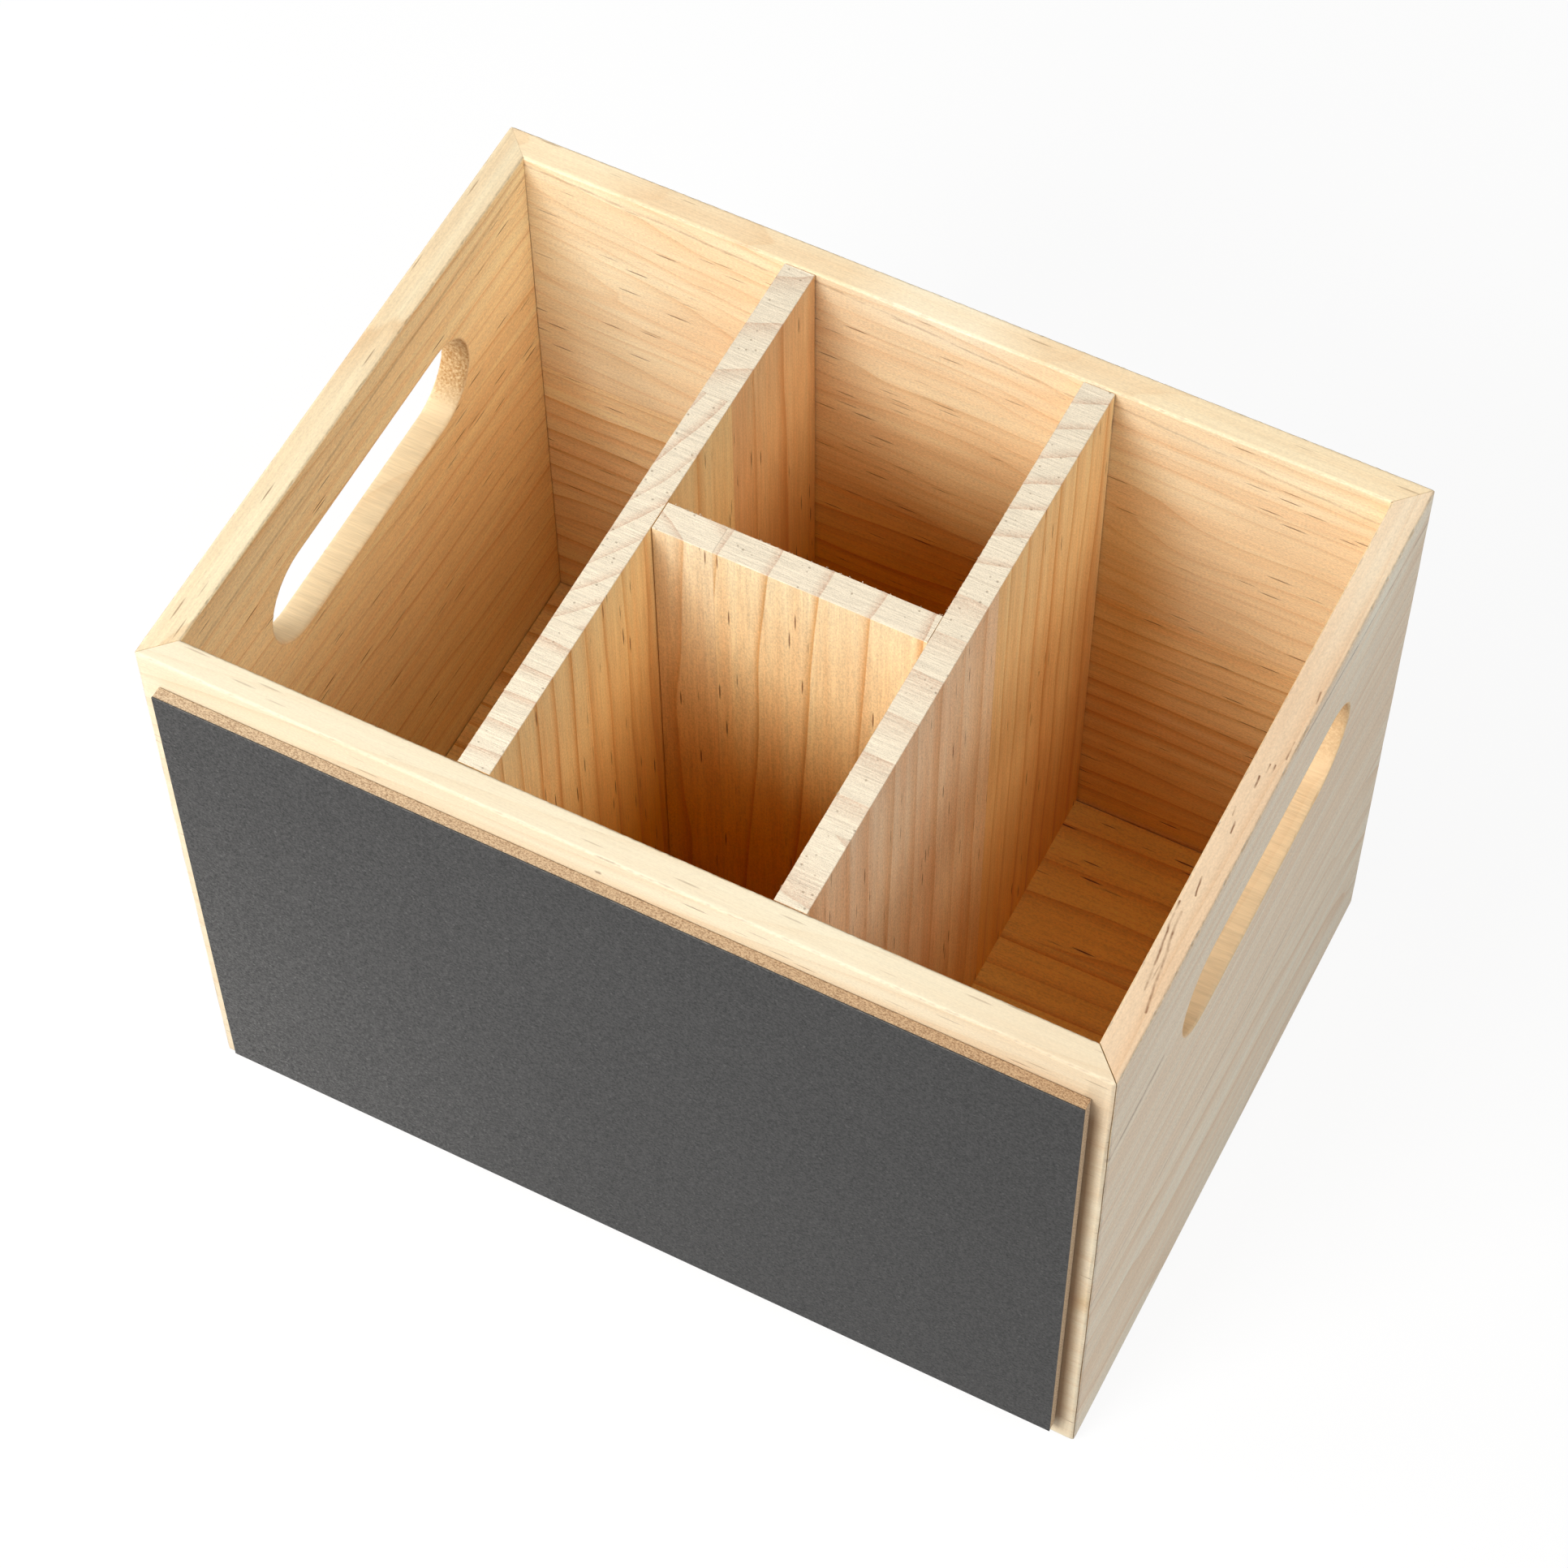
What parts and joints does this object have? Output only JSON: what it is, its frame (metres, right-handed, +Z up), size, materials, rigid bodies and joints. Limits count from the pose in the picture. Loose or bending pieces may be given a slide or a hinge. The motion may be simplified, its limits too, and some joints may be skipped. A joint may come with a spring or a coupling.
{
  "type": "utensil caddy",
  "caption": "Open desktop caddy of mitred pine boards with upright dividers, grip slots in both ends and a chalkboard panel on the front.",
  "frame": {"origin": "centre of the wooden box's foot, on the surface that it stands on", "axes": "+X to the right along the chalkboard front, +Y from the front to the back, +Z up"},
  "size_m": [0.25, 0.1826, 0.191],
  "materials": {
    "pine_wall": "sanded bare pine, grain along the board",
    "pine_base": "sanded bare pine, grain from side to side",
    "pine_divider": "sanded bare pine, grain upright, raw sawn end grain on top",
    "adhesive_film": "thin double-sided adhesive film, hidden",
    "fibreboard": "raw medium density fibreboard, sawn edges",
    "blackboard_face": "matt dark grey writing surface with a fine grain"
  },
  "bodies": {
    "root": {"front_wall": "pine_wall", "back_wall": "pine_wall", "left_wall": "pine_wall", "right_wall": "pine_wall", "base_board": "pine_base", "left_divider": "pine_divider", "right_divider": "pine_divider", "cross_divider": "pine_divider", "chalkboard_adhesive": "adhesive_film", "chalkboard_core": "fibreboard", "chalkboard_face": "blackboard_face"}
  },
  "joints": []
}
